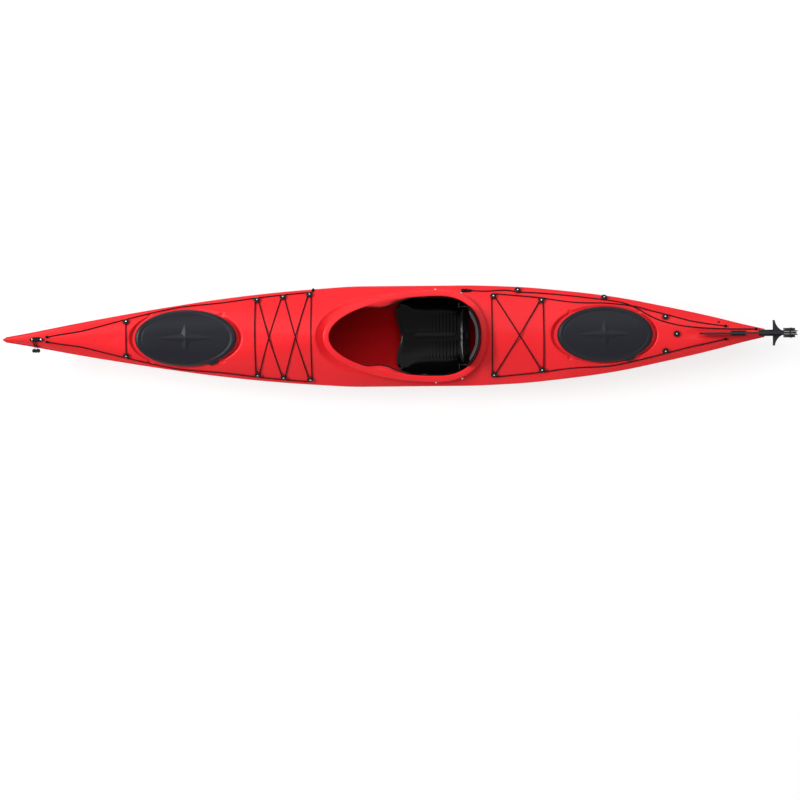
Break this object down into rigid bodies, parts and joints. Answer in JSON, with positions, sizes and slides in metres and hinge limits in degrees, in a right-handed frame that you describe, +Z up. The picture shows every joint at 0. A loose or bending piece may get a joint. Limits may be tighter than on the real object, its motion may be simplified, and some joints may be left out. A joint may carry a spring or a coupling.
{
  "type": "sea kayak",
  "caption": "Sea kayak with a moulded hull and deck, oval hatches, a cockpit with seat and backrest, deck lines and a folding rudder on the stern.",
  "frame": {"origin": "under the middle of the whole boat, at the level of the keel", "axes": "+X from the bow to the stern, +Y to starboard, +Z up"},
  "size_m": [4.664, 0.6, 0.4472],
  "materials": {
    "hull": "gloss moulded polyethylene",
    "hatch_rubber": "matte",
    "gloss_black": "gloss",
    "black_plastic": "satin",
    "foam": "matte closed-cell foam",
    "cord": "woven",
    "rudder": "satin",
    "steel": "brushed"
  },
  "bodies": {
    "hull": {"aft_bulkhead": "foam", "aft_bungee": "cord", "aft_deck_line_port": "cord", "aft_deck_line_starboard": "cord", "backrest_pin_port": "steel", "backrest_pin_starboard": "steel", "bow_pad_eye": "black_plastic", "deck_button_aft_1_port": "black_plastic", "deck_button_aft_1_starboard": "black_plastic", "deck_button_aft_2_port": "black_plastic", "deck_button_aft_2_starboard": "black_plastic", "deck_button_aft_3_port": "black_plastic", "deck_button_aft_3_starboard": "black_plastic", "deck_button_centre": "black_plastic", "deck_button_fore_1_port": "black_plastic", "deck_button_fore_1_starboard": "black_plastic", "deck_button_fore_2_port": "black_plastic", "deck_button_fore_2_starboard": "black_plastic", "deck_button_fore_3_port": "black_plastic", "deck_button_fore_3_starboard": "black_plastic", "deck_button_fore_4_port": "black_plastic", "deck_button_fore_4_starboard": "black_plastic", "deck_shell": "hull", "foot_brace_rail_port": "black_plastic", "foot_brace_rail_starboard": "black_plastic", "fore_bulkhead": "foam", "fore_bungee": "cord", "fore_cross_line": "cord", "fore_deck_line_port": "cord", "fore_deck_line_starboard": "cord", "hull_shell": "hull", "lift_line_guide_aft": "black_plastic", "lift_line_guide_fore": "black_plastic", "rudder_bracket": "rudder", "rudder_chock": "hatch_rubber", "rudder_lift_line": "cord", "rudder_line_cleat": "black_plastic", "seat_pan": "gloss_black", "thigh_brace_port": "black_plastic", "thigh_brace_starboard": "black_plastic"},
    "rudder_head_body": {"rudder_head": "rudder", "rudder_hub_pin": "steel"},
    "rudder_blade_body": {"rudder_blade": "rudder"},
    "port_pedal": {"foot_pedal_port": "black_plastic"},
    "starboard_pedal": {"foot_pedal_starboard": "black_plastic"},
    "front_cover": {"front_hatch_cover": "hatch_rubber"},
    "rear_cover": {"rear_hatch_cover": "hatch_rubber"},
    "backrest": {"backrest_shell": "black_plastic", "backrest_pad": "foam"},
    "bow_handle": {"bow_toggle": "black_plastic", "bow_toggle_loop": "cord"}
  },
  "joints": [
    {"name": "rudder_steer", "type": "hinge", "parent": "hull", "child": "rudder_head_body", "pos_m": [2.208, 0, 0.3662], "axis": [0, 0, 1], "range_deg": [-30, 30]},
    {"name": "rudder_flip", "type": "hinge", "parent": "rudder_head_body", "child": "rudder_blade_body", "pos_m": [2.292, 0, 0.4112], "axis": [0, 1, 0], "range_deg": [0, 255]},
    {"name": "port_pedal_slide", "type": "slide", "parent": "hull", "child": "port_pedal", "axis": [0.9947, -0.1027, 0], "range_m": [-0.036, 0.036]},
    {"name": "starboard_pedal_slide", "type": "slide", "parent": "hull", "child": "starboard_pedal", "axis": [0.9947, 0.1027, 0], "range_m": [-0.036, 0.036]},
    {"name": "front_cover_lift", "type": "slide", "parent": "hull", "child": "front_cover", "axis": [0, 0, 1], "range_m": [0, 0.1]},
    {"name": "rear_cover_lift", "type": "slide", "parent": "hull", "child": "rear_cover", "axis": [0, 0, 1], "range_m": [0, 0.1]},
    {"name": "backrest_tilt", "type": "hinge", "parent": "hull", "child": "backrest", "pos_m": [0.356, 0, 0.15], "axis": [0, -1, 0], "range_deg": [0, 60]},
    {"name": "bow_handle_swing", "type": "hinge", "parent": "hull", "child": "bow_handle", "pos_m": [-2.15, 0.0086, 0.3839], "axis": [-1, 0, 0], "range_deg": [0, 25]}
  ],
  "couplings": [
    {"joint": "port_pedal_slide", "follows": "rudder_steer", "m_per_rad": 0.068},
    {"joint": "starboard_pedal_slide", "follows": "rudder_steer", "m_per_rad": -0.068}
  ]
}
